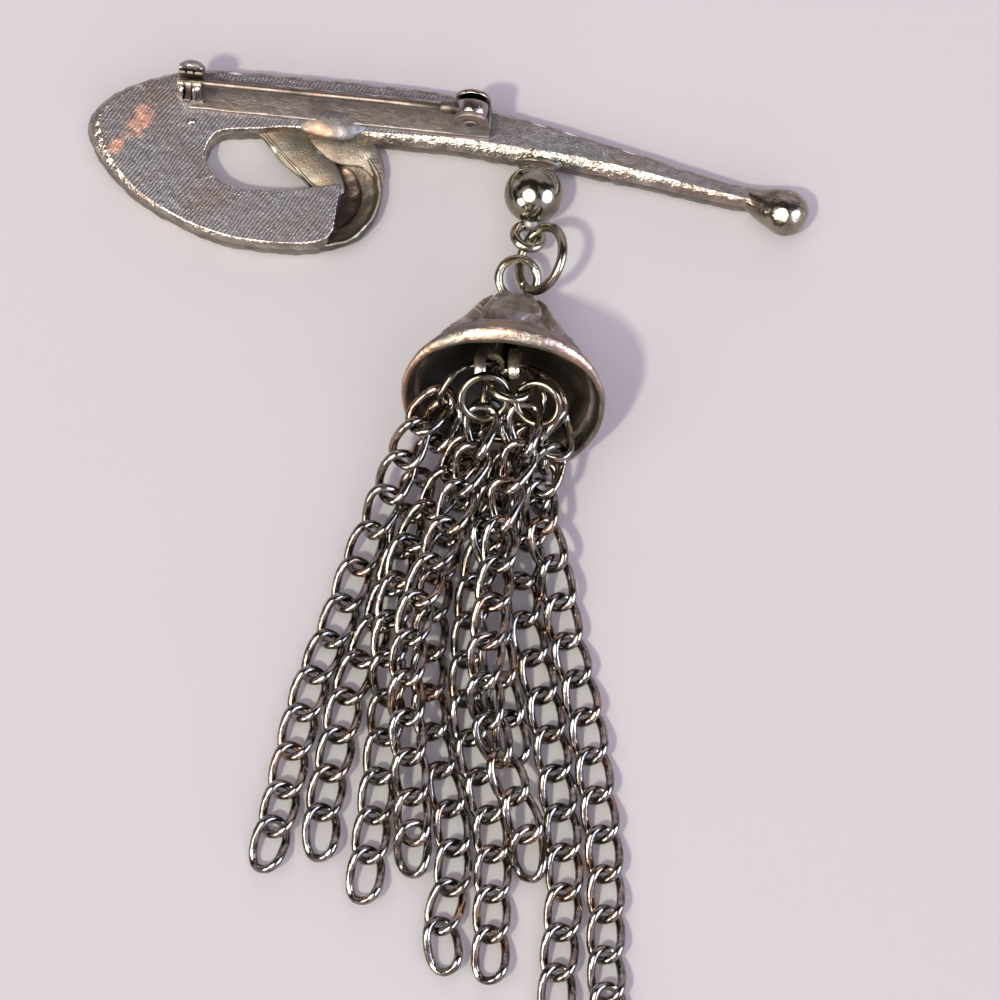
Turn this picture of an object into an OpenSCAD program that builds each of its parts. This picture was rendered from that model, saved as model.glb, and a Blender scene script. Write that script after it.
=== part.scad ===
// Tassel brooch, lying face down: a cast crescent and bar with a soldered pin finding,
// a ball drop with an eye, a jump ring, a bell cap and ten twisted chains on a wire hanger.
// X runs along the pin stem, Y towards the casting, Z up, and the floor is at zero.

/* [Casting] */
// Height of the flat back above the floor
back_z = 3.4; // [3.0:0.1:4.0]
// Height of the widest line of the rim
rim_z = 1.2; // [0.9:0.1:1.6]
// Radius of the ball drop
ball_r = 3.15; // [2.8:0.05:3.3]
// Radius of the ball at the end of the bar
end_ball_r = 2.5; // [2.2:0.1:2.6]
// Radius of the curl
curl_r = 6.4; // [6.0:0.1:6.6]

/* [Pin finding] */
// Length of the soldered plate
plate_length = 32.4; // [31:0.1:33]
// Width of the soldered plate
plate_width = 3.6; // [3.2:0.1:3.8]
// Thickness of the soldered plate
plate_thickness = 0.6; // [0.5:0.05:0.8]
// Height of the pin stem's centre line above the floor
pin_z = 7.2; // [7.1:0.05:7.4]
// Radius of the pin stem
pin_r = 0.375; // [0.35:0.005:0.4]
// Radius of the pivot between the ears
pivot_r = 0.5; // [0.4:0.05:0.5]
// Running clearance on the radius round the pivot
pivot_gap = 0.05; // [0.04:0.01:0.08]
// Turn of the pin about its pivot, from closed
pin_turn = 0; // [0:5:90]
// Turn of the catch roller, from open
catch_turn = 0; // [-84:4:0]

/* [Bell cap] */
// Radius of the bell's mouth
bell_r = 10.7; // [10.4:0.1:11]
// Length of the bell along its axis
bell_length = 14.2; // [14:0.1:14.6]
// Rise of the bell's axis above the floor, in degrees
bell_rise = 32.1; // [31.5:0.1:32.5]
// Height of the raised petals
petal_height = 0.3; // [0.2:0.05:0.4]

/* [Chains] */
// Half length of a link's wire centre line
link_a = 2.68; // [2.64:0.02:2.72]
// Half width of a link's wire centre line
link_b = 1.53; // [1.5:0.01:1.56]
// Twist of each end of a link, in degrees
link_twist = 48; // [44:1:50]
// Distance between neighbouring links
link_pitch = 4.15; // [4.1:0.01:4.18]
// Radius of a link's wire
link_wire_r = 0.40; // [0.38:0.01:0.42]

/* [Hidden] */
$fn = 48;
// shift that puts the middle of the whole brooch's box on the origin
shift = [4.4, 1.5, 0];
silver = [0.62, 0.60, 0.58];
dark_silver = [0.38, 0.36, 0.35];
grey_plate = [0.58, 0.55, 0.52];

// sections from the bar's end to the crescent's end; columns: outer edge of the back x, y,
// inner edge of the back x, y, reach of the rim beyond the outer edge and beyond the inner edge
sections = [
    [29.6, 39.9, 28.9, 39.2, 0.4, 0.7], [22.7, 41.3, 22.8, 40.1, 0.6, 0.9], [17.2, 42.6, 17.4, 41.1, 0.6, 1.2],
    [11.8, 43.8, 11.9, 41.9, 0.6, 1.4], [6.0, 45.0, 6.5, 42.4, 0.7, 1.3], [0.6, 46.0, 1.0, 42.7, 0.7, 1.4],
    [-4.9, 47.4, -4.4, 42.9, 0.7, 1.2], [-11, 47.7, -12, 42.6, 0.7, 0.9], [-21.2, 47.7, -21, 42.4, 0.7, 0.4],
    [-26, 47.6, -25, 41.8, 0.8, 0.2], [-30.9, 47.5, -28, 41.4, 0.8, 0.2], [-34.6, 46.7, -29.2, 41, 0.9, 0.2],
    [-38.3, 45.2, -29.8, 40.5, 1, 0.2], [-41.2, 42.9, -30.3, 39.5, 1.2, 0.2], [-42, 40.4, -30.5, 38.4, 1.5, 0.2],
    [-40.5, 37.1, -30.2, 37.3, 1.3, 0.2], [-37.6, 33.9, -29.4, 36.2, 0.7, 0.2],
    [-34.4, 31.9, -28.6, 35.5, 0.4, 0.2], [-30.4, 30.3, -27.3, 35, 0.4, 0.2], [-26.5, 29.4, -25.6, 34.8, 0.4, 0.2],
    [-22.4, 29.2, -22.9, 34.9, 0.4, 0.2], [-19, 29.4, -19.7, 35.4, 0.4, 0.2], [-16.6, 30.1, -17.1, 36.1, 0.5, 0.2],
    [-15.7, 31.4, -15.5, 36.3, 0.5, 0.3]];
// columns: height, share of the reach; up the outer side and then down the inner side
levels = [[0, 0.3], [0.35, 0.8], [rim_z, 1], [2.3, 0.8], [3.1, 0.25], [back_z, 0]];

// columns: x, y, z, half width, half height
tongue_path = [[-25.6, 42.6, 1.2, 0.5, 0.8], [-24.4, 41.9, 1.1, 0.9, 1.0], [-23.0, 41.2, 1.1, 1.1, 1.0],
    [-21.2, 40.4, 1.1, 1.6, 1.05], [-19.6, 39.3, 1.1, 1.8, 1.05], [-18.2, 37.8, 1.0, 1.6, 0.95],
    [-17.0, 36.3, 0.9, 1.3, 0.85], [-16.4, 35.2, 0.8, 0.9, 0.7]];
end_drop_path = [[27.0, 39.9, 2.4, 0.9, 0.8], [29.0, 39.9, 2.9, 1.2, 1.0], [30.6, 40.0, 3.7, 1.2, 1.1],
    [32.0, 39.9, 4.4, 1.0, 0.9], [33.0, 39.8, 4.5, 0.5, 0.4]];

pin_y = 44.9;
hinge_x = -2.2;
plate_x = -32.6;
knuckle_r = 1.7;
knuckle_half = 0.6;
ear_gap = 1.0;
ear_thick = 0.5;
ear_r = 1.9;
ear_base = 4.2;
ear_lean = 10;
pin_tip_x = -34;
pin_taper = 3;
root_r = 0.75;
root_end_r = 0.56;
root_length = 3.4;
catch_x = -33.7;
catch_length = 2.6;
catch_r = 2.3;
catch_bore = 1.6;
roller_r = 1.5;
slot_width = 0.95;
tab_length = 0.75;

ball_at = [5.2, 37.5, 3.2];
eye_at = [5.1, 32.75, 3.0];
eye_r = 1.45;
eye_wire = 0.5;
eye_lean = [-21, 14, 0];
end_ball_at = [32.2, 38.5, 2.5];
curl_at = [-17.4, 35.8];

jump_at = [6.75, 29.9, 4.7];
jump_r = 3.5;
jump_tilt = 50;
jump_wire = 0.48;
ring_wire = 0.42;
loop_at = [4.5, 28.05, 2.9];
loop_r = 2.1;
loop_wire = 0.42;
loop_lean = [18, 12, 0];
crown_at = [4.5, 24.7, 1.68];

// columns: centre, radius, turn in plan, tilt
hanger_outer = [[4.5, 12.4, 9.3], 6.5, 0, 70];
hanger_inner = [[5.6, 12.4, 8.6], 3.2, 0, 70];
ring_left = [[2.6, 12.5, 10.5], 2.45, 20, 41];
ring_right = [[8.15, 12.4, 10.5], 2.3, -20, 41];
// columns: x, y, z
u_path = [[2.1, 15.6, 10.3], [2.75, 14.9, 10.7], [3, 14.1, 11], [3.5, 13.1, 11.4], [4.3, 12.5, 11.6], [5.1, 12.3, 11.6], [6.1, 12.4, 11.4], [6.9, 13, 11], [7.25, 14, 10.4], [7.1, 15, 10.1], [6.5, 16, 9.8]];
outer_path = concat([[3.2, 16.8, 8.6], [1.6, 16.2, 9.8], [-0.6, 14.9, 10.7]],
    [for (k = [0 : 20]) wire_point(hanger_outer, 172 + 10 * k)], [[10.0, 14.4, 10.7], [7.8, 16.0, 9.8], [5.6, 16.7, 8.4]]);
inner_path = concat([[3.4, 16.9, 7.9], [2.6, 15.2, 8.6]],
    [for (k = [0 : 9]) wire_point(hanger_inner, 185 + 16 * k)], [[8.7, 13.8, 8.2], [7.4, 15.8, 8.2], [5.6, 16.9, 7.8]]);
// columns: x, y, z, half width, half height
shank_path = [[4.45, 26.3, 2.3, 0.4, 0.4], [4.45, 25.7, 2.05, 0.5, 0.5], [4.5, 24.7, 1.72, 0.72, 0.72],
    [4.5, 23.0, 2.74, 0.8, 0.8], [4.5, 17.9, 5.94, 0.8, 0.8], [4.5, 16.6, 6.8, 0.9, 0.9],
    [4.5, 16.0, 7.2, 0.8, 0.8]];
prong_left_path = [[4.1, 17.0, 6.9, 0.75, 0.3], [3.2, 16.7, 8.2, 0.75, 0.28], [2.4, 15.9, 9.6, 0.75, 0.25],
    [2.0, 15.3, 10.7, 0.75, 0.25], [1.9, 14.9, 11.5, 0.7, 0.25]];
prong_right_path = [[4.9, 17.0, 6.9, 0.75, 0.3], [5.3, 16.8, 8.2, 0.75, 0.28], [5.6, 16.3, 9.6, 0.75, 0.25],
    [5.5, 15.6, 10.7, 0.75, 0.25], [5.4, 15.0, 11.5, 0.7, 0.25]];
neck_path = [[5.2, 38.9, 3.0, 1.5, 1.5], [5.2, 40.0, 2.4, 1.6, 1.3], [5.2, 41.0, 2.0, 2.3, 1.2],
    [5.2, 42.4, 1.8, 2.7, 1.2]];
shoulder_path = [[-20.2, 40.3, 1.63, 0.6, 0.6], [-18.5, 40.9, 1.93, 1.0, 0.9], [-16.2, 41.4, 2.07, 1.1, 1.0],
    [-14.2, 41.3, 1.93, 1.0, 0.9], [-12.8, 40.8, 1.67, 0.5, 0.6]];
blob_path = [[-18.4, 42.6, 2.9, 0.5, 0.4], [-17.2, 43.0, 3.2, 1.2, 0.8], [-15.4, 43.5, 3.4, 1.6, 1.0],
    [-13.9, 43.9, 3.3, 1.2, 0.7], [-13.2, 44.1, 3.1, 0.5, 0.3]];

// each chain: hook wire, angle on it, number of links, rolls of its first links,
// then its route with columns x, y, z; the chain's far end is free
chains = [
    [hanger_outer, 184, 13, [27, 12],
        [[-4.1, 9.4, 8.1], [-5.6, 5.5, 5.4], [-6.8, 2, 3.7], [-8.5, -3, 2.1], [-9.9, -9, 1.2],
        [-11.4, -14.5, 1.2], [-12.5, -18, 1.2], [-13.1, -22, 1.2], [-13.6, -26, 1.2], [-14.1, -31, 1.2],
        [-15, -36.5, 1.2]]],
    [hanger_outer, 204, 12, [4],
        [[-2.3, 8.6, 5.1], [-3.5, 5.5, 2.9], [-4.2, 2, 1.3], [-4.7, -3, 1.2], [-5.7, -9, 1.2],
        [-7.5, -14.5, 1.2], [-8.5, -18, 1.2], [-8.8, -22, 1.2], [-9.2, -26, 1.2], [-9.7, -31, 1.2],
        [-9.3, -36.5, 1.2]]],
    [hanger_inner, 213, 13, [0],
        [[1.4, 8.6, 5.8], [-0.2, 5.2, 4.6], [-1.8, 2, 3.7], [-4, -3, 3.6], [-4.7, -9, 3.6],
        [-4.6, -14.5, 3.3], [-4.3, -18, 2.2], [-4.2, -22, 1.2], [-4.2, -26, 1.2], [-4.3, -31, 1.2],
        [-4.6, -39.5, 1.2]]],
    [ring_left, 245, 12, [-24, -14, -6],
        [[2.5, 8.4, 8.6], [1.5, 5.2, 7.6], [0.8, 2, 6.5], [-0.5, -3, 6], [-2.2, -9, 6],
        [-2.5, -14.5, 5.7], [-2.4, -18, 4.6], [-1.8, -22, 3.6], [-1, -26, 3.5], [-0.2, -31, 2.6],
        [0.1, -35, 1.4]]],
    [hanger_outer, 242, 14, [-15, -6],
        [[1.1, 8.4, 3.3], [0.9, 5.2, 1.9], [0.6, 2, 1.3], [-0.5, -3, 1.2], [-0.8, -9, 1.2],
        [-0.4, -14.5, 1.2], [-0.1, -18, 1.2], [0.9, -22, 1.2], [2.2, -26, 1.2], [4, -31, 1.2],
        [4.4, -35, 1.2], [4.4, -38, 1.2], [3.6, -42, 1.2], [5, -46, 1.2]]],
    [hanger_outer, 262, 14, [-30, -12],
        [[4.4, 8.4, 2.7], [5, 5.2, 1.8], [4.9, 2, 1.25], [3.7, -3, 1.2], [3.4, -9, 1.2],
        [3.7, -14.5, 1.2], [3.9, -18, 1.2], [4.9, -22, 1.2], [6.3, -26, 1.2], [8.1, -31, 1.2],
        [8.4, -35, 1.2], [8.8, -39, 1.2], [9.3, -46, 1.2]]],
    [ring_right, 245, 12, [-24, -14, -6],
        [[7.2, 8.4, 8.7], [6.1, 5.2, 7.7], [5.6, 2, 6.4], [5.8, -3, 6], [5.5, -9, 6], [5.5, -14.5, 5.9],
        [5.7, -18, 4.6], [7.2, -22, 3.6], [9.2, -26, 3.5], [11.6, -31, 3], [12.2, -35, 1.4]]],
    [hanger_outer, 298, 15, [-44, -28, -12],
        [[8.9, 8.2, 3.5], [9.3, 5.2, 1.9], [9.2, 2, 1.25], [8.2, -3, 1.2], [9, -9, 1.2],
        [11.1, -14.5, 1.2], [12.2, -18, 1.2], [13.3, -22, 1.2], [14.2, -26, 1.2], [15.3, -31, 1.2],
        [16.1, -37, 1.2], [16.1, -43, 1.2], [16.4, -49, 1.2]]],
    [hanger_outer, 345, 16, [40, 22, 8],
        [[10.4, 8.8, 7.2], [9.2, 5.2, 5.5], [9.3, 2, 4.1], [11.6, -3, 2.9], [13.1, -9, 1.25],
        [15.2, -14.5, 1.2], [16.3, -18, 1.2], [17.4, -22, 1.2], [18.3, -26, 1.2], [19.5, -31, 1.2],
        [20.4, -37, 1.2], [20.9, -43, 1.2], [22, -50, 1.2]]],
    [hanger_inner, 272, 9, [-50, -20],
        [[6.6, 8.6, 5.6], [5, 5.2, 4.6], [3.7, 2, 3.7], [5.2, -3, 3.6], [5.8, -9, 3.6], [6.9, -14.5, 3.2],
        [8, -18, 2], [9.2, -22, 1.2], [9.8, -25, 1.2]]]];

function unit(v) = v / norm(v);
function smooth_point(a, b, c, d, t) = 0.5 * (2 * b + (c - a) * t + (2 * a - 5 * b + 4 * c - d) * t * t
    + (3 * b - a - 3 * c + d) * t * t * t);
function smooth_path(p, steps) = let (n = len(p), q = concat([2 * p[0] - p[1]], p, [2 * p[n - 1] - p[n - 2]]))
    concat([for (i = [1 : n - 1], k = [0 : steps - 1])
        smooth_point(q[i - 1], q[i], q[i + 1], q[i + 2], k / steps)], [p[n - 1]]);
function distances(p) = [for (i = 0, d = 0; i < len(p);
    d = d + (i + 1 < len(p) ? norm(p[i + 1] - p[i]) : 0), i = i + 1) d];
function at(d, p, s) = [for (k = [0 : 2]) lookup(s, [for (i = [0 : len(p) - 1]) [d[i], p[i][k]]])];
function wire_point(w, a) = w[0] + w[1] * cos(a) * [cos(w[2]), sin(w[2]), 0]
    + w[1] * sin(a) * [-sin(w[2]) * cos(w[3]), cos(w[2]) * cos(w[3]), sin(w[3])];
function heading(p, i) = unit(p[min(i + 1, len(p) - 1)] - p[max(i - 1, 0)]);
function xyz(p) = [for (q = p) [q[0], q[1], q[2]]];

// a tube along rows of x, y, z, half width, half height; the width lies level
module swept(rows, sides) {
    p = xyz(rows);
    n = len(rows);
    ring = [for (i = [0 : n - 1]) let (t = heading(p, i), s = unit(cross(t, [0, 0, 1])), u = cross(s, t))
        for (k = [0 : sides - 1]) p[i] + rows[i][3] * cos(360 * k / sides) * s
            + rows[i][4] * sin(360 * k / sides) * u];
    walls = [for (i = [0 : n - 2], k = [0 : sides - 1]) let (m = (k + 1) % sides, a = i * sides, b = a + sides)
        each [[a + k, a + m, b + m], [a + k, b + m, b + k]]];
    ends = [[for (k = [sides - 1 : -1 : 0]) k], [for (k = [0 : sides - 1]) (n - 1) * sides + k]];
    polyhedron(points = ring, faces = concat(walls, ends));
}

// a round wire through a few points
module wire(points, r, steps, sides) {
    swept([for (q = smooth_path(points, steps)) [q[0], q[1], q[2], r, r]], sides);
}

// a round ring from a row of centre, radius, turn in plan and tilt
module ring(w, r) {
    translate(w[0])
        rotate([0, 0, w[2]])
            rotate([w[3], 0, 0])
                rotate_extrude()
                    translate([w[1], 0])
                        circle(r);
}

module casting() {
    rows = smooth_path(sections, 2);
    n = len(rows);
    m = len(levels);
    points = [for (q = rows) let (o = [q[0], q[1]], i = [q[2], q[3]], h = unit(o - i))
        each concat([for (v = levels) let (e = o + v[1] * q[4] * h) [e[0], e[1], v[0]]],
            [for (k = [m - 1 : -1 : 0]) let (e = i - levels[k][1] * q[5] * h) [e[0], e[1], levels[k][0]]])];
    w = 2 * m;
    walls = [for (j = [0 : n - 2], k = [0 : w - 1]) let (a = j * w, b = a + w, l = (k + 1) % w)
        each [[a + k, b + l, b + k], [a + k, a + l, b + l]]];
    ends = [for (k = [1 : w - 2]) each [[0, k + 1, k], [(n - 1) * w, (n - 1) * w + k, (n - 1) * w + k + 1]]];
    polyhedron(points = points, faces = concat(walls, ends));
}

module curl() {
    translate([curl_at[0], curl_at[1], 0])
        rotate([0, 0, -70])
            rotate_extrude(angle = 157)
                polygon([[0.6, 0.3], [curl_r - 1.2, 0], [curl_r - 0.3, 0.4], [curl_r, rim_z],
                    [curl_r - 0.2, 2.0], [curl_r - 0.7, 2.5], [curl_r - 1.2, 2.3], [curl_r - 1.8, 1.4],
                    [curl_r - 3.2, 1.0], [0.6, 1.1]]);
}

module ear(side) {
    translate([hinge_x, pin_y, pin_z])
        rotate([-side * ear_lean, 0, 0])
            translate([0, side * (ear_gap + ear_thick / 2), 0])
                rotate([90, 0, 0])
                    union() {
                        cylinder(r = ear_r, h = ear_thick, center = true);
                        linear_extrude(ear_thick, center = true)
                            polygon([[-ear_base / 2, back_z - pin_z], [ear_base / 2, back_z - pin_z],
                                [ear_r, 0], [-ear_r, 0]]);
                    }
}

module pin_base() {
    translate([plate_x, pin_y - plate_width / 2, back_z - 0.4])
        cube([plate_length, plate_width, plate_thickness + 0.4]);
    difference() {
        ear(-1);
        translate([hinge_x, pin_y - ear_gap - ear_thick - 0.5, pin_z])
            sphere(r = 0.75);
    }
    ear(1);
    translate([hinge_x, pin_y, pin_z])
        rotate([90, 0, 0])
            cylinder(r = pivot_r, h = 2 * ear_gap + 0.5, center = true);
}

module catch_housing() {
    translate([catch_x, pin_y, pin_z])
        rotate([90, 0, 90])
            difference() {
                union() {
                    cylinder(r = catch_r, h = catch_length);
                    translate([-1.2, back_z - pin_z, 0])
                        cube([2.4, 2.2, catch_length]);
                }
                translate([0, 0, -1])
                    cylinder(r = catch_bore, h = catch_length + 2);
                translate([0, 0, -1])
                    linear_extrude(catch_length + 2)
                        polygon([[0, 0], [2.0, 3.46], [0, 4], [-2.3, 3.28]]);
                translate([0, 0, catch_length / 2 - tab_length / 2 - 0.1])
                    linear_extrude(tab_length + 0.2)
                        polygon([[0, 0], [2.0, 3.46], [-4, 4], [-4, 0.28]]);
            }
}

module brooch_body() {
    color(silver)
        translate(shift)
            union() {
                casting();
                curl();
                swept(tongue_path, 10);
                swept(end_drop_path, 10);
                swept(neck_path, 12);
                pin_base();
                catch_housing();
                translate(end_ball_at)
                    sphere(r = end_ball_r);
                translate(ball_at)
                    sphere(r = ball_r);
                translate(eye_at)
                    rotate(eye_lean)
                        rotate_extrude()
                            translate([eye_r, 0])
                                circle(eye_wire);
                translate([5.15, 34.32, 2.71])
                    sphere(r = 0.8);
                swept(blob_path, 10);
                swept(shoulder_path, 10);
            }
}

module pin_stem() {
    color(grey_plate)
        translate(shift)
            translate([hinge_x, pin_y, pin_z])
                rotate([0, pin_turn, 0])
                    difference() {
                        union() {
                            rotate([90, 0, 0])
                                cylinder(r = knuckle_r, h = 2 * knuckle_half, center = true);
                            translate([-1, 0, 0])
                                rotate([0, -90, 0])
                                    cylinder(r = pin_r, h = hinge_x - pin_tip_x - pin_taper - 1);
                            translate([-1, 0, 0])
                                rotate([0, -90, 0])
                                    cylinder(r1 = root_r, r2 = root_end_r, h = root_length - 1);
                            translate([pin_tip_x + pin_taper - hinge_x, 0, 0])
                                rotate([0, -90, 0])
                                    cylinder(r1 = pin_r, r2 = 0.06, h = pin_taper);
                        }
                        rotate([90, 0, 0])
                            cylinder(r = pivot_r + pivot_gap, h = 4, center = true);
                    }
}

module catch_roller() {
    color(grey_plate)
        translate(shift)
            translate([catch_x, pin_y, pin_z])
                rotate([catch_turn, 0, 0])
                    rotate([90, 0, 90])
                        difference() {
                            union() {
                                cylinder(r = roller_r, h = catch_length);
                                translate([0, 0, catch_length / 2 - tab_length / 2])
                                    linear_extrude(tab_length)
                                        rotate(164)
                                            polygon([[1.2, -0.2], [2.5, -0.28], [2.6, 0], [2.5, 0.28],
                                                [1.2, 0.2]]);
                            }
                            translate([0, 0, -1])
                                cylinder(r = slot_width / 2, h = catch_length + 2);
                            translate([-slot_width / 2, 0, -1])
                                cube([slot_width, 4, catch_length + 2]);
                        }
}

module jump_ring() {
    color(silver)
        translate(shift)
            translate(jump_at)
                rotate([0, -jump_tilt, 0])
                    rotate_extrude()
                        translate([jump_r, 0])
                            circle(jump_wire);
}

module petal_prism(angle) {
    rotate([0, 0, angle + 90])
        rotate([90, 0, 0])
            linear_extrude(12)
                polygon([[-1.5, 0.3], [1.5, 0.3], [2.2, 3], [3.1, 6], [3.1, 7.6], [2.5, 8.7], [1.4, 9.4],
                    [0, 9.8], [-1.4, 9.4], [-2.5, 8.7], [-3.1, 7.6], [-3.1, 6], [-2.2, 3]]);
}

module bell_cap() {
    color(dark_silver)
        translate(shift)
            union() {
                translate(crown_at)
                    rotate([90 - bell_rise, 0, 0])
                        rotate_extrude()
                            polygon([[1.3, 0], [1.9, 0], [2.2, 0.4], [6.2, 8.5], [8.8, 12],
                                [bell_r - 1.1, bell_length - 1.6], [bell_r - 0.5, bell_length - 1],
                                [bell_r - 0.1, bell_length - 0.4], [bell_r, bell_length - 0.15],
                                [bell_r - 0.2, bell_length], [bell_r - 0.7, bell_length],
                                [bell_r - 0.85, bell_length - 0.2], [9.3, 13], [8, 12], [5.3, 8.5],
                                [1.7, 1.2], [1.3, 1]]);
                intersection() {
                    translate(crown_at)
                        rotate([90 - bell_rise, 0, 0])
                            intersection() {
                                rotate_extrude()
                                    polygon([[1.95, 0.4], [2.2 + petal_height, 0.3],
                                        [6.2 + petal_height, 8.5], [7.25 + petal_height, 9.9],
                                        [6.9, 9.9], [5.9, 8.5]]);
                                union() {
                                    for (k = [0 : 4])
                                        petal_prism(90 + 72 * k);
                                }
                            }
                    translate([-20, 0, 0.02])
                        cube([50, 50, 40]);
                }
            }
}

module bell_hook() {
    color(dark_silver)
        translate(shift)
            union() {
                translate(loop_at)
                    rotate(loop_lean)
                        rotate_extrude()
                            translate([loop_r, 0])
                                circle(loop_wire);
                swept(shank_path, 8);
                swept(prong_left_path, 6);
                swept(prong_right_path, 6);
                wire(u_path, 0.42, 2, 8);
                wire(outer_path, 0.4, 1, 8);
                wire(inner_path, 0.4, 1, 8);
            }
}

// one twisted link: centre, direction along the chain, direction across, normal
module link(c, t, s, n) {
    p = [for (k = [0 : 9]) let (x = cos(36 * k), y = sin(36 * k), u = link_a * sign(x) * pow(abs(x), 0.75),
        v = link_b * sign(y) * pow(abs(y), 0.75), w = link_twist * sign(u) * pow(abs(u) / link_a, 0.7))
        c + u * t + v * (cos(w) * s + sin(w) * n)];
    skin = [for (k = [0 : 9]) let (h = unit(p[(k + 1) % 10] - p[(k + 9) % 10]), q = p[k] - c,
        e = unit(q - (q * h) * h), f = cross(h, e))
        for (j = [0 : 4]) p[k] + link_wire_r * (cos(72 * j) * e + sin(72 * j) * f)];
    polyhedron(points = skin, faces = [for (k = [0 : 9], j = [0 : 4])
        let (a = k * 5, b = ((k + 1) % 10) * 5, m = (j + 1) % 5)
        each [[a + j, b + j, b + m], [a + j, b + m, a + m]]]);
}

module chain(row) {
    p = smooth_path(concat([wire_point(row[0], row[1])], row[4]), 8);
    d = distances(p);
    first = 1.45;
    color(silver)
        translate(shift)
            for (i = [0 : row[2] - 1]) {
                s = first + i * link_pitch;
                a = at(d, p, i == 0 ? 0 : s - link_pitch / 2);
                b = at(d, p, s + link_pitch / 2);
                t = unit(b - a);
                c = i == 0 ? at(d, p, s) : (a + b) / 2;
                side = unit(cross(t, [0, 0, 1]));
                up = cross(side, t);
                roll = i < len(row[3]) ? row[3][i] : 0;
                link(c, t, side * cos(roll) + up * sin(roll), up * cos(roll) - side * sin(roll));
            }
}

module gather_ring_left() {
    color(silver)
        translate(shift)
            ring(ring_left, ring_wire);
}

module gather_ring_right() {
    color(silver)
        translate(shift)
            ring(ring_right, ring_wire);
}

module chain_1() {
    chain(chains[0]);
}
module chain_2() {
    chain(chains[1]);
}
module chain_3() {
    chain(chains[2]);
}
module chain_4() {
    chain(chains[3]);
}
module chain_5() {
    chain(chains[4]);
}
module chain_6() {
    chain(chains[5]);
}
module chain_7() {
    chain(chains[6]);
}
module chain_8() {
    chain(chains[7]);
}
module chain_9() {
    chain(chains[8]);
}
module chain_10() {
    chain(chains[9]);
}

brooch_body();
pin_stem();
catch_roller();
jump_ring();
bell_cap();
bell_hook();
gather_ring_left();
gather_ring_right();
chain_1();
chain_2();
chain_3();
chain_4();
chain_5();
chain_6();
chain_7();
chain_8();
chain_9();
chain_10();
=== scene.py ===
# Tassel brooch lying face down: a brushed casting with a pin back, and a leaf cap full of gunmetal chains.
import bpy
import bmesh
import numpy as np
from math import radians, sin, cos, pi, exp
from mathutils import Vector, Matrix, noise


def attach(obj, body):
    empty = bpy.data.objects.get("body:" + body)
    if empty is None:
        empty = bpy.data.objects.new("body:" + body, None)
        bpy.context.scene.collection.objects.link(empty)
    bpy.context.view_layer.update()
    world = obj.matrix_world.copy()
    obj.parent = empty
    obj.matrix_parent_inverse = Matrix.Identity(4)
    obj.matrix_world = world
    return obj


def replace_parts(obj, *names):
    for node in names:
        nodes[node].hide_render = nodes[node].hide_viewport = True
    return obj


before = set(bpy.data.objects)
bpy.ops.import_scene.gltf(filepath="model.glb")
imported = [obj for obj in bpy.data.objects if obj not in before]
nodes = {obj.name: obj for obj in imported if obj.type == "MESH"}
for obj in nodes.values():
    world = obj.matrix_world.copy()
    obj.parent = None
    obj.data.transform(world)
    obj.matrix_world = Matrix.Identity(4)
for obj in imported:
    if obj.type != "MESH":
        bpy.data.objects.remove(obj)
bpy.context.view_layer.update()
moved = Matrix.Translation
ops = bmesh.ops
mm = 0.001
shift = Vector((4.4, 1.5, 0.0))   # the source's own shift, in mm
noise.seed_set(1)   # without it the lumps would differ from run to run
print("frame loaded:", len(nodes), "nodes")


def addObject(name, data):
    made = bpy.data.objects.new(name, data)
    bpy.context.collection.objects.link(made)
    return made


def addMesh(name, bm):
    mesh = bpy.data.meshes.new(name)
    bm.to_mesh(mesh)
    bm.free()
    return addObject(name, mesh)


def addMaterial(name):
    material = bpy.data.materials.new(name)
    material.use_nodes = True
    return material, material.node_tree.nodes["Principled BSDF"]


# camera

view = {"target": (9.54, 5.12, 3.0), "turn": 6, "rise": 76, "distance": 400, "width": 105, "sensor": 36}


def makeCamera():
    turn, rise = radians(view["turn"]), radians(view["rise"])
    right = Vector((cos(turn), sin(turn), 0))
    up = Vector((-sin(turn), cos(turn), 0))
    back = Vector((0, 0, 1)) * sin(rise) - up * cos(rise)
    camera = bpy.data.cameras.new("camera")
    camera.lens = view["sensor"] * view["distance"] / view["width"]
    camera.sensor_width = view["sensor"]
    camera.clip_start = 0.01
    camera.clip_end = 20
    holder = addObject("camera", camera)
    spin = Matrix((right, back.cross(right), back)).transposed().to_4x4()
    holder.matrix_world = moved((Vector(view["target"]) + back * view["distance"]) * mm) @ spin
    bpy.context.scene.camera = holder
    bpy.context.scene.view_settings.view_transform = "Standard"
    return right, up


right, up = makeCamera()


# node groups that several finishes share

def feed(tree, socket, value):
    # joins another node's output to a socket, or sets the socket's own value
    if isinstance(value, bpy.types.NodeSocket):
        tree.links.new(value, socket)
    else:
        socket.default_value = value


def node(tree, kind, *first, **values):
    # first fills the sockets in turn; a name is a setting of the node, or else one of its sockets
    made = tree.nodes.new(kind)
    for key, value in values.items():
        if hasattr(made, key):
            setattr(made, key, value)
        else:
            feed(tree, made.inputs[key.replace("_", " ")], value)
    for socket, value in zip(made.inputs, first):
        feed(tree, socket, value)
    return made


def makeGroup(name, inputs, outputs):
    # inputs and outputs: each kind of socket, with the names of its sockets
    group = bpy.data.node_groups.new(name, "ShaderNodeTree")
    for way, kinds in (("INPUT", inputs), ("OUTPUT", outputs)):
        for kind, labels in kinds.items():
            for label in labels:
                group.interface.new_socket(label, in_out=way, socket_type="NodeSocket" + kind)
    return group, group.nodes.new("NodeGroupInput").outputs, group.nodes.new("NodeGroupOutput").inputs


def objectPoints(tree):
    return node(tree, "ShaderNodeTexCoord").outputs["Object"]


def maths(tree, operation, *values):
    return node(tree, "ShaderNodeMath", *values, operation=operation).outputs[0]


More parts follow.
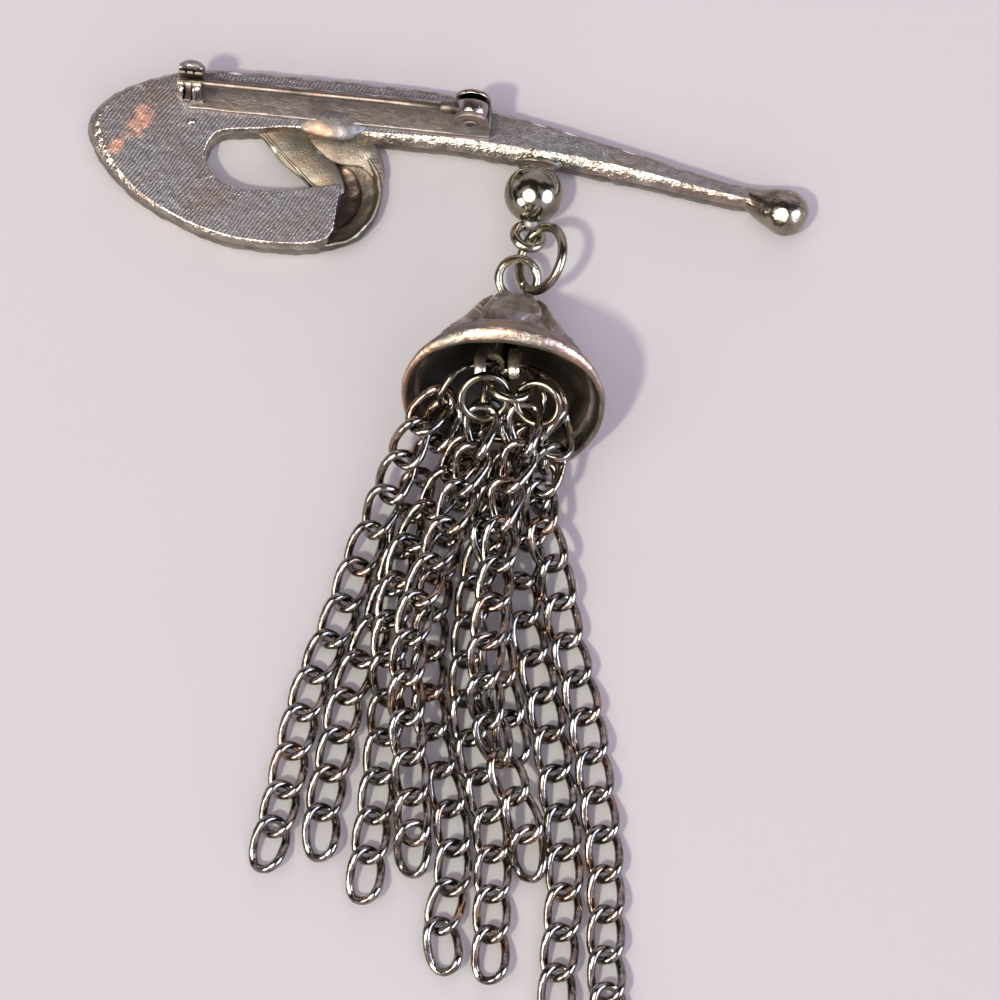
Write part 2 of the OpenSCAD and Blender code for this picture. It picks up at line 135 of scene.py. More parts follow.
def vectorMaths(tree, operation, *values):
    made = node(tree, "ShaderNodeVectorMath", *values, operation=operation)
    return made.outputs["Value" if operation == "LENGTH" else "Vector"]


def turnLevel(tree, where, angle):
    return node(tree, "ShaderNodeVectorRotate", rotation_type="Z_AXIS", Vector=where, Angle=angle).outputs[0]


def remap(tree, value, low, high, toLow=0.0, toHigh=1.0):
    return node(tree, "ShaderNodeMapRange", value, low, high, toLow, toHigh).outputs[0]


def mix(tree, amount, a, b, kind="RGBA"):
    return node(tree, "ShaderNodeMix", data_type=kind, Factor=amount, A=a, B=b).outputs["Result"]


def cloud(tree, where, scale, detail, roughness):
    made = node(tree, "ShaderNodeTexNoise", Vector=where, Scale=scale, Detail=detail, Roughness=roughness)
    return made.outputs["Fac"]


def makePatches():
    # a base tone with darker and warmer patches and finer mottling in it
    group, given, out = makeGroup(
        "tonePatches", {"Color": ["Light", "Dark", "Warm"], "Float": ["Size", "Warmth", "Contrast"]},
        {"Color": ["Color"], "Float": ["Mask"]})
    where = objectPoints(group)
    half = maths(group, "MULTIPLY", given["Size"], 0.43)   # warm patches are larger
    spread = remap(group, cloud(group, where, given["Size"], 5.0, 0.6), 0.35, 0.68)
    hot = remap(group, cloud(group, where, half, 3.0, 0.5), 0.52, 0.66)
    amount = maths(group, "MULTIPLY", spread, given["Contrast"])
    heat = maths(group, "MULTIPLY", hot, given["Warmth"])
    tone = mix(group, amount, given["Light"], given["Dark"])
    feed(group, out["Color"], mix(group, heat, tone, given["Warm"]))
    feed(group, out["Mask"], amount)
    return group


def makeScratches():
    # fine parallel lines, turned in plan, for brushed and drawn metal
    group, given, out = makeGroup("brushLines", {"Float": ["Turn", "Density", "Stretch"]}, {"Float": ["Value"]})
    turn = turnLevel(group, objectPoints(group), given["Turn"])
    sizes = node(group, "ShaderNodeCombineXYZ", given["Stretch"], 1.0, 1.0).outputs[0]
    squeeze = vectorMaths(group, "MULTIPLY", turn, sizes)
    feed(group, out["Value"], cloud(group, squeeze, given["Density"], 4.0, 0.7))
    return group


def makePits():
    # cast lumps, pits and a fine grain, as one height
    group, given, out = makeGroup(
        "castGrain", {"Float": ["Lump size", "Grain size", "Grain share"]}, {"Float": ["Height"]})
    where = objectPoints(group)
    lumps = cloud(group, where, given["Lump size"], 2.0, 0.5)
    grain = cloud(group, where, given["Grain size"], 3.0, 0.6)
    feed(group, out["Height"], maths(group, "MULTIPLY_ADD", grain, given["Grain share"], lumps))
    return group


def makeWearAndSheen():
    # lightens sharp edges, partly as rubbed metal and partly as painted highlight on bevels, and leaves hollows
    # dark
    group, given, out = makeGroup(
        "edgeWearAndSheen", {"Color": ["Color", "Worn", "Hollow"], "Float": ["Start", "End"]}, {"Color": ["Color"]})
    sharp = node(group, "ShaderNodeNewGeometry").outputs["Pointiness"]
    low = mix(group, remap(group, sharp, 0.40, 0.48), given["Hollow"], given["Color"])
    high = mix(group, remap(group, sharp, given["Start"], given["End"]), low, given["Worn"])
    feed(group, out["Color"], high)
    return group


def makeHatch():
    # file marks at one pitch, wavering and broken here and there
    group, given, out = makeGroup("fileMarks", {"Float": ["Turn", "Scale", "Waver"]}, {"Float": ["Value"]})
    where = objectPoints(group)
    bands = node(group, "ShaderNodeTexWave", Vector=turnLevel(group, where, given["Turn"]),
                 Scale=given["Scale"], Distortion=given["Waver"], Detail=2.0, Detail_Scale=0.35)
    breaks = cloud(group, where, 1400.0, 4.0, 0.7)
    apart = node(group, "ShaderNodeSeparateXYZ", where)
    fade = remap(group, apart.outputs["X"], -0.004, 0.007, 0.6, 0.92)   # worn away towards the bar's end
    feed(group, out["Value"], mix(group, fade, bands.outputs["Fac"], breaks, "FLOAT"))
    return group


def makeSpots():
    # two rubbed places where copper shows through, with ragged edges
    group, given, out = makeGroup(
        "copperSpots", {"Color": ["Color", "Copper"], "Vector": ["First", "Second", "First size", "Second size"]},
        {"Color": ["Color"]})
    where = objectPoints(group)
    ragged = cloud(group, where, 1300.0, 5.0, 0.7)
    last = given["Color"]
    for label in ("First", "Second"):
        lean = turnLevel(group, vectorMaths(group, "SUBTRACT", where, given[label]), 0.35)
        far = vectorMaths(group, "LENGTH", vectorMaths(group, "DIVIDE", lean, given[label + " size"]))
        inside = remap(group, maths(group, "MULTIPLY_ADD", ragged, 2.6, far), 2.46, 1.96, 0.0, 0.8)
        last = mix(group, inside, last, given["Copper"])
    feed(group, out["Color"], last)
    return group


groups = {"patches": makePatches(), "lines": makeScratches(), "grain": makePits(), "wearAndSheen": makeWearAndSheen(),
          "hatch": makeHatch(), "spots": makeSpots()}


def place(tree, name, **values):
    return node(tree, "ShaderNodeGroup", node_tree=groups[name], **values)


# finishes: colours; size, warmth and contrast of the patches; bump over lumps and grain; lines as turn, density,
# stretch and strength; and where on the sharpness scale the rubbed colour, which is partly painted highlight,
# starts
plainMetal = {"size": 520, "warmth": 0.5, "contrast": 0.9, "bump": 0.6, "depth": 0.00012, "lump": 900,
              "grain": 4200, "share": 0.3, "lines": (0, 3000, 1, 0.0), "wearAndSheenFrom": 0.52,
              "hollow": (0.02, 0.02, 0.02)}
finishes = {
    "brushedBack": {"light": (0.26, 0.245, 0.255), "dark": (0.14, 0.12, 0.13), "warm": (0.18, 0.125, 0.1),
        "size": 260, "contrast": 0.8, "rough": (0.36, 0.5), "bump": 0.5, "lump": 1100, "grain": 6000,
        "share": 0.6, "lines": (0, 0, 0, 0.8), "hatch": {"Turn": 0.53, "Scale": 850, "Waver": 7.0},
        "wornAndSheen": (0.45, 0.41, 0.38)},
    # its near-white rubbed colour on the sharp lumps is partly painted highlight
    "polishedRim": {"light": (0.48, 0.43, 0.355), "dark": (0.13, 0.1, 0.085), "warm": (0.36, 0.23, 0.16),
        "size": 420, "contrast": 0.95, "rough": (0.17, 0.34), "bump": 1.0, "depth": 0.0003, "lump": 1500,
        "grain": 3600, "wornAndSheen": (0.9, 0.86, 0.78)},
    "castSide": {"light": (0.26, 0.235, 0.205), "dark": (0.12, 0.1, 0.085), "warm": (0.26, 0.17, 0.12),
        "rough": (0.34, 0.52), "bump": 0.7, "lump": 1300, "grain": 5200, "share": 0.5, "wornAndSheen": (0.4, 0.37, 0.32)},
    "curlMetal": {"light": (0.155, 0.145, 0.112), "dark": (0.08, 0.066, 0.052), "warm": (0.22, 0.15, 0.1),
        "size": 380, "warmth": 0.6, "rough": (0.42, 0.58), "lump": 800, "grain": 5200, "share": 0.8,
        "wornAndSheen": (0.42, 0.39, 0.32)},
    # the curl's dish: a darker brown than curlMetal, as painted shade in the hollow
    "curlPaintedShade": {"light": (0.1, 0.075, 0.06), "dark": (0.045, 0.033, 0.028), "warm": (0.16, 0.09, 0.06),
        "size": 380, "contrast": 0.7, "rough": (0.3, 0.45), "lump": 800, "grain": 3600, "wornAndSheen": (0.3, 0.26, 0.2)},
    "ballPolish": {"light": (0.34, 0.33, 0.26), "dark": (0.14, 0.115, 0.08), "warm": (0.34, 0.22, 0.14),
        "size": 260, "warmth": 0.4, "rough": (0.07, 0.2), "bump": 0.22, "lump": 520, "grain": 3200, "share": 0.15,
        "wornAndSheen": (0.7, 0.66, 0.6)},
    "platedFinding": {"light": (0.235, 0.2, 0.185), "dark": (0.095, 0.075, 0.068), "warm": (0.18, 0.13, 0.09),
        "size": 420, "contrast": 1.0, "rough": (0.38, 0.6), "bump": 0.45, "lump": 1300, "grain": 5200,
        "share": 0.4, "lines": (0.05, 3200, 0.12, 0.35), "wornAndSheen": (0.45, 0.42, 0.38)},
    "catchSilver": {"light": (0.34, 0.315, 0.28), "dark": (0.08, 0.065, 0.06), "warm": (0.34, 0.2, 0.15),
        "size": 700, "contrast": 0.95, "rough": (0.08, 0.24), "lump": 1200, "grain": 5200, "share": 0.4,
        "wornAndSheen": (0.5, 0.47, 0.42)},
    "drawnSteel": {"light": (0.2, 0.165, 0.14), "dark": (0.075, 0.055, 0.045), "warm": (0.22, 0.12, 0.08),
        "size": 600, "rough": (0.36, 0.52), "bump": 0.3, "grain": 5200, "lines": (0.0, 4600, 0.04, 0.5),
        "wornAndSheen": (0.6, 0.55, 0.48), "wearAndSheenFrom": 0.9},
    "agedCap": {"light": (0.36, 0.31, 0.28), "dark": (0.15, 0.12, 0.1), "warm": (0.3, 0.17, 0.1), "size": 420,
        "warmth": 0.4, "contrast": 0.85, "rough": (0.28, 0.46), "bump": 0.7, "share": 0.4,
        "lines": (0.15, 2600, 0.12, 0.5), "wornAndSheen": (0.66, 0.58, 0.5)},
    "capLip": {"light": (0.24, 0.21, 0.175), "dark": (0.08, 0.065, 0.05), "warm": (0.5, 0.26, 0.15), "size": 300,
        "warmth": 0.7, "contrast": 0.8, "rough": (0.28, 0.44), "bump": 0.9, "lump": 1300, "share": 0.4,
        "lines": (0.1, 2400, 0.1, 0.5), "wornAndSheen": (0.36, 0.32, 0.27)},
    # near black: painted shade inside the cap and on the pivot's front head
    "paintedShadeDark": {"light": (0.085, 0.07, 0.06), "dark": (0.035, 0.027, 0.022), "warm": (0.13, 0.08, 0.05),
        "size": 300, "contrast": 0.7, "rough": (0.42, 0.6), "bump": 0.5, "share": 0.4, "wornAndSheen": (0.3, 0.24, 0.18)},
    "prongSilver": {"light": (0.75, 0.7, 0.54), "dark": (0.34, 0.28, 0.18), "warm": (0.6, 0.42, 0.24),
        "warmth": 0.4, "contrast": 0.8, "rough": (0.22, 0.4), "bump": 0.3, "wornAndSheen": (0.9, 0.86, 0.76),
        "wearAndSheenFrom": 0.9},
    "shadedWire": {"light": (0.2, 0.18, 0.14), "dark": (0.05, 0.04, 0.03), "warm": (0.2, 0.11, 0.06),
        "warmth": 0.4, "rough": (0.1, 0.2), "bump": 0.3, "wornAndSheen": (0.4, 0.36, 0.3), "wearAndSheenFrom": 0.9},
    "hookSilver": {"light": (0.34, 0.32, 0.24), "dark": (0.11, 0.09, 0.065), "warm": (0.4, 0.24, 0.12),
        "warmth": 0.4, "rough": (0.12, 0.26), "bump": 0.25, "lump": 800, "wornAndSheen": (0.7, 0.64, 0.56),
        "wearAndSheenFrom": 0.9},
    "ringSilver": {"light": (0.34, 0.32, 0.24), "dark": (0.12, 0.1, 0.075), "warm": (0.34, 0.22, 0.14),
        "size": 480, "warmth": 0.4, "rough": (0.09, 0.24), "bump": 0.25, "lump": 800, "wornAndSheen": (0.8, 0.76, 0.7),
        "wearAndSheenFrom": 0.9},
    "gunmetal": {"light": (0.34, 0.315, 0.275), "dark": (0.055, 0.046, 0.042), "warm": (0.5, 0.25, 0.13),
        "size": 800, "warmth": 0.35, "contrast": 1.0, "rough": (0.08, 0.17), "bump": 0.4, "share": 0.2,
        "wornAndSheen": (0.42, 0.38, 0.3), "wearAndSheenFrom": 0.9},
    # the curl's shoulder: a rough brown grain, darkened as painted shade on its slope
    "curlShoulderPaintedShade": {"light": (0.2, 0.165, 0.125), "dark": (0.08, 0.065, 0.055), "warm": (0.27, 0.155, 0.1),
        "size": 380, "rough": (0.42, 0.6), "bump": 0.8, "lump": 1100, "grain": 5200, "share": 0.9,
        "wornAndSheen": (0.34, 0.31, 0.26)},
    "endPolish": {"light": (0.36, 0.325, 0.25), "dark": (0.12, 0.095, 0.07), "warm": (0.32, 0.2, 0.12),
        "size": 420, "warmth": 0.4, "contrast": 0.95, "rough": (0.1, 0.28), "bump": 0.8, "lump": 800,
        "grain": 3600, "wornAndSheen": (0.5, 0.46, 0.38)},
    "solder": {"light": (0.215, 0.2, 0.19), "dark": (0.085, 0.07, 0.065), "warm": (0.32, 0.2, 0.13),
        "warmth": 0.7, "rough": (0.4, 0.6), "lump": 1300, "grain": 6000, "share": 0.7, "wornAndSheen": (0.3, 0.28, 0.26)},
}

copperSpots = {"Copper": (0.62, 0.34, 0.25, 1),
               "First": (-0.0332, 0.0429, 0.0034), "First_size": (0.0011, 0.0020, 1),
               "Second": (-0.0356, 0.0397, 0.0034), "Second_size": (0.0008, 0.0011, 1)}
# how far full lines darken and brighten the colour, and how high they stand beside the grain
lineShare = {"dark": 0.45, "bright": 0.3, "height": 0.8}


def makeMetal(name):
    look = {**plainMetal, **finishes[name]}
    material, shader = addMaterial(name)
    tree = material.node_tree
    shader.inputs["Metallic"].default_value = 1.0
    tone = place(tree, "patches", Light=(*look["light"], 1), Dark=(*look["dark"], 1), Warm=(*look["warm"], 1),
                 Size=look["size"], Warmth=look["warmth"], Contrast=look["contrast"])
    # sharp edges take the rubbed colour: real rubbing, and partly painted highlight
    wearAndSheen = place(tree, "wearAndSheen", Color=tone.outputs["Color"], Worn=(*look["wornAndSheen"], 1), Hollow=(*look["hollow"], 1),
                 Start=look["wearAndSheenFrom"], End=look["wearAndSheenFrom"] + 0.1)
    turn, density, stretch, strength = look["lines"]
    filed = "hatch" in look
    if filed:
        lines = place(tree, "hatch", **look["hatch"])
    else:
        lines = place(tree, "lines", Turn=turn, Density=density, Stretch=stretch)
    low, high = 1 - lineShare["dark"] * strength, 1 + lineShare["bright"] * strength
    shade = remap(tree, lines.outputs["Value"], 0.3, 0.7, low, high)
    tint = node(tree, "ShaderNodeVectorMath", wearAndSheen.outputs["Color"], operation="SCALE", Scale=shade).outputs[0]
    if filed:
        tint = place(tree, "spots", Color=tint, **copperSpots).outputs["Color"]
    feed(tree, shader.inputs["Base Color"], tint)
    feed(tree, shader.inputs["Roughness"], remap(tree, tone.outputs["Mask"], 0.0, 1.0, *look["rough"]))
    grain = place(tree, "grain", Lump_size=look["lump"], Grain_size=look["grain"], Grain_share=look["share"])
    height = maths(tree, "MULTIPLY_ADD", lines.outputs["Value"], lineShare["height"] * strength,
                   grain.outputs["Height"])
    bump = node(tree, "ShaderNodeBump", Strength=look["bump"], Distance=look["depth"], Height=height)
    feed(tree, shader.inputs["Normal"], bump.outputs[0])
    return material


metals = {name: makeMetal(name) for name in finishes}
print("finishes made:", len(metals))


# mesh helpers; shapes are made in mm, in the source's own frame, and then put in place

def finish(name, bm, looks, body="brooch", smooth=True, levels=0):
    ops.transform(bm, matrix=Matrix.Scale(mm, 4) @ moved(shift), verts=bm.verts)
    ops.recalc_face_normals(bm, faces=bm.faces)
    piece = addMesh(name, bm)
    if smooth:
        piece.data.shade_smooth()
    for look in looks:
        piece.data.materials.append(metals[look])
    if levels:
        rounding = piece.modifiers.new("smooth", "SUBSURF")
        rounding.levels = rounding.render_levels = levels
    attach(piece, body)
    return piece


def curve(rows, steps):
    # a smooth run of rows through the given ones
    rows = [list(row) for row in rows]
    before = [2 * a - b for a, b in zip(rows[0], rows[1])]
    after = [2 * a - b for a, b in zip(rows[-1], rows[-2])]
    points = [before] + rows + [after]
    made = []
    for i in range(1, len(points) - 2):
        for k in range(steps):
            t = k / steps
            made.append([0.5 * (2 * b + (c - a) * t + (2 * a - 5 * b + 4 * c - d) * t * t
                                + (3 * b - a - 3 * c + d) * t ** 3)
                         for a, b, c, d in zip(*points[i - 1:i + 3])])
    return made + [rows[-1]]


def ringEdges(ring):
    inside = set(ring)
    return list(dict.fromkeys(e for v in ring for e in v.link_edges if e.other_vert(v) in inside))


def bridge(bm, rings, caps=True):
    for a, b in zip(rings, rings[1:]):
        ops.bridge_loops(bm, edges=ringEdges(a) + ringEdges(b))
    if caps:
        for ring in (rings[0], rings[-1]):
            ops.contextual_create(bm, geom=ringEdges(ring))


def sweep(bm, rows, sides):
    # a tube along rows of x, y, z, half width, half height; the width lies level
    rings = []
    for i, row in enumerate(rows):
        ahead = (Vector(rows[min(i + 1, len(rows) - 1)][:3]) - Vector(rows[max(i - 1, 0)][:3])).normalized()
        side = ahead.cross(Vector((0, 0, 1))).normalized()
        axes = Matrix((side * row[3], side.cross(ahead) * row[4], ahead)).transposed().to_4x4()
        made = ops.create_circle(bm, segments=sides, radius=1, matrix=moved(row[:3]) @ axes)
        rings.append(made["verts"])
    bridge(bm, rings)


def wire(bm, points, radius, sides):
    sweep(bm, [point + [radius, radius] for point in points], sides)


def turned(bm, profile, steps, angle=360, closed=False, matrix=Matrix()):
    # spins a profile of radius, height round its own Z axis, then puts it in place
    start = [bm.verts.new((r, 0, h)) for r, h in profile]
    edges = [bm.edges.new(pair) for pair in zip(start, start[1:] + start[:1] if closed else start[1:])]
    old = set(bm.verts) - set(start)
    ops.spin(bm, geom=start + edges, cent=(0, 0, 0), axis=(0, 0, 1), angle=radians(angle), steps=steps,
             use_merge=angle == 360)
    ops.remove_doubles(bm, verts=[v for v in bm.verts if v not in old], dist=0.0005)
    new = [v for v in bm.verts if v not in old]
    ops.transform(bm, matrix=matrix, verts=new)
    return new


def soften(bm, edges, width, segments=3, **more):
    ops.bevel(bm, geom=edges, offset=width, segments=segments, profile=0.5, affect="EDGES", material=-1, **more)


def slab(bm, outline, through):
    # a flat outline, pushed through by a vector
    face = bm.faces.new([bm.verts.new(point) for point in outline])
    made = ops.extrude_face_region(bm, geom=[face])
    ops.translate(bm, vec=through, verts=[v for v in made["geom"] if isinstance(v, bmesh.types.BMVert)])


def block(bm, size, matrix, softened):
    old = set(bm.verts)
    ops.create_cube(bm, size=1, matrix=matrix @ Matrix.Diagonal((*size, 1)))
    soften(bm, [e for e in bm.edges if not old.intersection(e.verts)], softened)


def arc(radius, angles):
    return [(radius * cos(radians(a)), radius * sin(radians(a))) for a in angles]


def fillHoles(bm):
    ops.holes_fill(bm, edges=[e for e in bm.edges if len(e.link_faces) < 2], sides=0)


def spun(x=0, y=0, z=0):
    return (Matrix.Rotation(radians(z), 4, "Z") @ Matrix.Rotation(radians(y), 4, "Y")
            @ Matrix.Rotation(radians(x), 4, "X"))


def lumpy(verts, size, depth):
    # pushes vertices about a little, as a hand-finished casting is
    for v in verts:
        v.co += noise.noise_vector(v.co * size) * depth


# tilt: turns about x, y and z; start: the turn that brings the gap to its place; gap in degrees
hoops = {
    "dropEye": {"at": (5.1, 32.75, 3.0), "tilt": (-21, 14, 0), "radius": 1.45, "wire": 0.56, "look": "ringSilver",
        "slot": "cast_silver"},
    "openRing": {"at": (6.75, 29.9, 4.7), "tilt": (0, -50, 0), "start": 232, "gap": 3, "radius": 3.5,
        "wire": 0.52, "look": "ringSilver", "steps": 120},
    "ringLeft": {"at": (2.6, 12.5, 10.5), "tilt": (41, 0, 20), "radius": 2.45, "wire": 0.42,
        "look": "shadedWire", "steps": 72, "sides": 16},
    "ringRight": {"at": (8.15, 12.4, 10.5), "tilt": (41, 0, -20), "radius": 2.3, "wire": 0.42,
        "look": "shadedWire", "steps": 72, "sides": 16},
    "loop": {"at": (4.5, 28.05, 2.9), "tilt": (18, 12, 0), "radius": 2.1, "wire": 0.46, "steps": 80, "sides": 18},
}
plainHoop = {"start": 0, "gap": 0, "steps": 96, "sides": 20}


def addHoop(bm, name):
    ring = {**plainHoop, **hoops[name]}
    r, thick, sides = ring["radius"], ring["wire"], ring["sides"]
    profile = [(r + thick * cos(2 * pi * k / sides), thick * sin(2 * pi * k / sides)) for k in range(sides)]
    where = moved(ring["at"]) @ spun(*ring["tilt"]) @ spun(z=ring["start"])
    turned(bm, profile, ring["steps"], 360 - ring["gap"], True, where)
    if ring["gap"]:
        fillHoles(bm)


def makeHoop(name):
    bm = bmesh.new()
    addHoop(bm, name)
    return finish(name, bm, [hoops[name]["look"]])


# the casting: crescent and bar, curl, tongue, ball drop and the ball at the bar's end

# columns: outer edge of the back x, y, inner edge x, y, reach of the rim beyond the outer and the inner edge
sections = [
    [29.6, 39.9, 28.9, 39.2, 0.4, 0.7], [22.7, 41.3, 22.8, 40.1, 0.6, 0.9], [17.2, 42.6, 17.4, 41.1, 0.6, 1.2],
    [11.8, 43.8, 11.9, 41.9, 0.6, 1.4], [6.0, 45.0, 6.5, 42.4, 0.7, 1.3], [0.6, 46.0, 1.0, 42.7, 0.7, 1.4],
    [-4.9, 47.4, -4.4, 42.9, 0.7, 1.2], [-11, 47.7, -12, 42.6, 0.7, 0.9], [-21.2, 47.7, -21, 42.4, 0.7, 0.4],
    [-26, 47.6, -25, 41.8, 0.8, 0.2], [-30.9, 47.5, -28, 41.4, 0.8, 0.2], [-34.6, 46.7, -29.2, 41, 0.9, 0.2],
    [-38.3, 45.2, -29.8, 40.5, 1, 0.2], [-41.2, 42.9, -30.3, 39.5, 1.2, 0.2], [-42, 40.4, -30.5, 38.4, 1.5, 0.2],
    [-40.5, 37.1, -30.2, 37.3, 1.3, 0.2], [-37.6, 33.9, -29.4, 36.2, 0.7, 0.2],
    [-34.4, 31.9, -28.6, 35.5, 0.4, 0.2], [-30.4, 30.3, -27.3, 35, 0.4, 0.2], [-26.5, 29.4, -25.6, 34.8, 0.4, 0.2],
    [-22.4, 29.2, -22.9, 34.9, 0.4, 0.2], [-19, 29.4, -19.7, 35.4, 0.4, 0.2], [-16.6, 30.1, -17.1, 36.1, 0.5, 0.2],
    [-15.7, 31.4, -15.5, 36.3, 0.5, 0.3]]
# columns: height, share of the reach there; a small groove lies under the filed band
edgeShape = [(0.03, 0.35), (0.2, 0.68), (0.55, 0.9), (1.1, 1.0), (1.6, 1.0), (1.85, 0.98), (1.98, 0.89),
             (2.15, 0.92), (2.45, 0.84), (2.8, 0.68), (3.1, 0.47), (3.28, 0.26), (3.4, 0.0)]
# lumps and ripple: size and depth; sideTop: below it the sides are lumpy; band: where the filed band starts
casting = {"steps": 12, "across": (0.08, 0.3, 0.7, 0.92), "lumps": (0.9, 0.14), "ripple": (2.2, 0.05),
           "sideTop": 3.2, "back": 3.39, "band": 2.0, "edge": 0.07}


def makeCasting():
    bm = bmesh.new()
    rings = []
    back = Vector((0, 0, edgeShape[-1][0]))
    for ox, oy, ix, iy, outerReach, innerReach in curve(sections, casting["steps"]):
        outer, inner = Vector((ox, oy, 0)), Vector((ix, iy, 0))
        out = (outer - inner).normalized()
        ring = [outer + out * (share * outerReach) + Vector((0, 0, z)) for z, share in edgeShape]
        ring += [outer.lerp(inner, t) + back for t in casting["across"]]
        ring += [inner - out * (share * innerReach) + Vector((0, 0, z)) for z, share in reversed(edgeShape)]
        verts = [bm.verts.new(p) for p in ring]
        for pair in zip(verts, verts[1:] + verts[:1]):
            bm.edges.new(pair)
        rings.append(verts)
    bridge(bm, rings)
    (size, depth), (fine, shallow) = casting["lumps"], casting["ripple"]
    for v in bm.verts:
        if v.co.z < casting["sideTop"]:
            push = noise.noise_vector(v.co * size) * depth + noise.noise_vector(v.co * fine) * shallow
            v.co += Vector((push.x, push.y, push.z * (0.3 if v.co.z > 0.3 else 0)))
    ops.recalc_face_normals(bm, faces=bm.faces)
    soften(bm, [e for e in bm.edges if all(v.co.z > casting["back"] for v in e.verts) and len(e.link_faces) == 2
                and e.calc_face_angle(0) > 0.4], casting["edge"], 2)
    for f in bm.faces:
        high = f.calc_center_median().z
        f.material_index = 0 if f.normal.z > 0.97 and high > 3.3 else 1 if high > casting["band"] else 2
    piece = finish("casting", bm, ["brushedBack", "polishedRim", "castSide"])
    for face in piece.data.polygons:
        face.use_smooth = face.material_index > 0   # the filed back is flat
    return piece


curl = {"centre": (-17.4, 35.8, 0), "hollow": 4.3, "swing": 190, "turn": -98, "lumps": (0.8, 0.12)}
# columns: radius, height; up the outside, over the rim and down into the dish
curlShape = [(0.6, 0.1), (5.2, 0.03), (6.1, 0.4), (6.4, 1.2), (6.35, 1.9), (6.18, 2.3), (5.9, 2.15), (5.6, 1.6),
             (5.0, 1.25), (4.2, 0.75), (3.4, 0.4), (0.6, 0.35)]


def makeCurl():
    size, depth = curl["lumps"]
    bm = bmesh.new()
    where = moved(curl["centre"]) @ spun(z=curl["turn"])
    for v in turned(bm, curve(curlShape, 3), 72, curl["swing"], True, where):
        push = noise.noise_vector(v.co * size) * depth
        v.co += Vector((push.x, push.y, push.z if v.co.z > 0.4 else 0))
    fillHoles(bm)
    # faces inside the dish take the darker finish, which is painted shade
    for f in bm.faces:
        away = (f.calc_center_median() - Vector(curl["centre"])).to_2d().length
        f.material_index = 1 if away < curl["hollow"] else 0
    return finish("curl", bm, ["curlMetal", "curlPaintedShade"])


drop = {"at": (5.2, 37.5, 3.2), "radius": 3.15, "collarFrom": 39.6, "collarLength": 1.6, "solderFrom": 40.2}
# columns: radius, height along the drop
dropEnd = [(0.0, -3.28), (0.35, -3.2)]
dropNeck = [(1.8, 2.8), (1.95, 3.1), (2.3, 3.5), (2.5, 3.9), (1.8, 4.2), (0, 4.3)]


def makeBall():
    # neck, ball and its solder collar, turned as one drop along the ball's own axis
    bm = bmesh.new()
    profile = dropEnd + arc(drop["radius"], range(-80, 54, 6)) + curve(dropNeck, 4)
    turned(bm, profile, 72, matrix=moved(drop["at"]) @ spun(x=-90))
    middle = drop["at"][2]
    for v in bm.verts:
        far = min(1, (v.co.y - drop["collarFrom"]) / drop["collarLength"])
        if far > 0:   # the collar flattens and sinks towards the bar
            v.co.z = middle + (v.co.z - middle) * (1 - 0.5 * far) - 1.0 * far
            v.co += noise.noise_vector(v.co * 1.4) * 0.15 * far
    for f in bm.faces:
        f.material_index = 1 if f.calc_center_median().y > drop["solderFrom"] else 0
    return finish("ballDrop", bm, ["ballPolish", "curlMetal"])


endBall = {"at": (32.2, 38.5, 2.5), "radius": 2.5, "lumps": (0.9, 0.09), "floor": 0.05, "grain": 0.16}
# columns: x, y, z, half width, half height of the neck that the bar's end swells into
endNeck = [[26.2, 40.5, 1.7, 0.7, 1.3], [27.6, 40.1, 1.8, 1.0, 1.5], [29.0, 39.6, 1.95, 1.5, 1.7],
           [30.3, 39.1, 2.2, 2.0, 2.0], [31.4, 38.8, 2.4, 2.3, 2.3], [32.4, 38.5, 2.5, 2.3, 2.3],
           [33.4, 38.3, 2.5, 1.8, 1.8]]


def makeEndBall():
    bm = bmesh.new()
    ops.create_icosphere(bm, subdivisions=5, radius=endBall["radius"], matrix=moved(endBall["at"]))
    sweep(bm, curve(endNeck, 4), 32)
    lumpy(bm.verts, *endBall["lumps"])
    for v in bm.verts:
        v.co.z = max(v.co.z, endBall["floor"])
    piece = finish("endBall", bm, ["endPolish"])
    joined = piece.modifiers.new("joined", "REMESH")   # ball and neck are one casting, with a soft crease
    joined.mode = "VOXEL"
    joined.voxel_size = endBall["grain"] * mm
    joined.use_smooth_shade = True
    eased = piece.modifiers.new("eased", "SMOOTH")
    eased.factor = 0.5
    eased.iterations = 6
    return piece


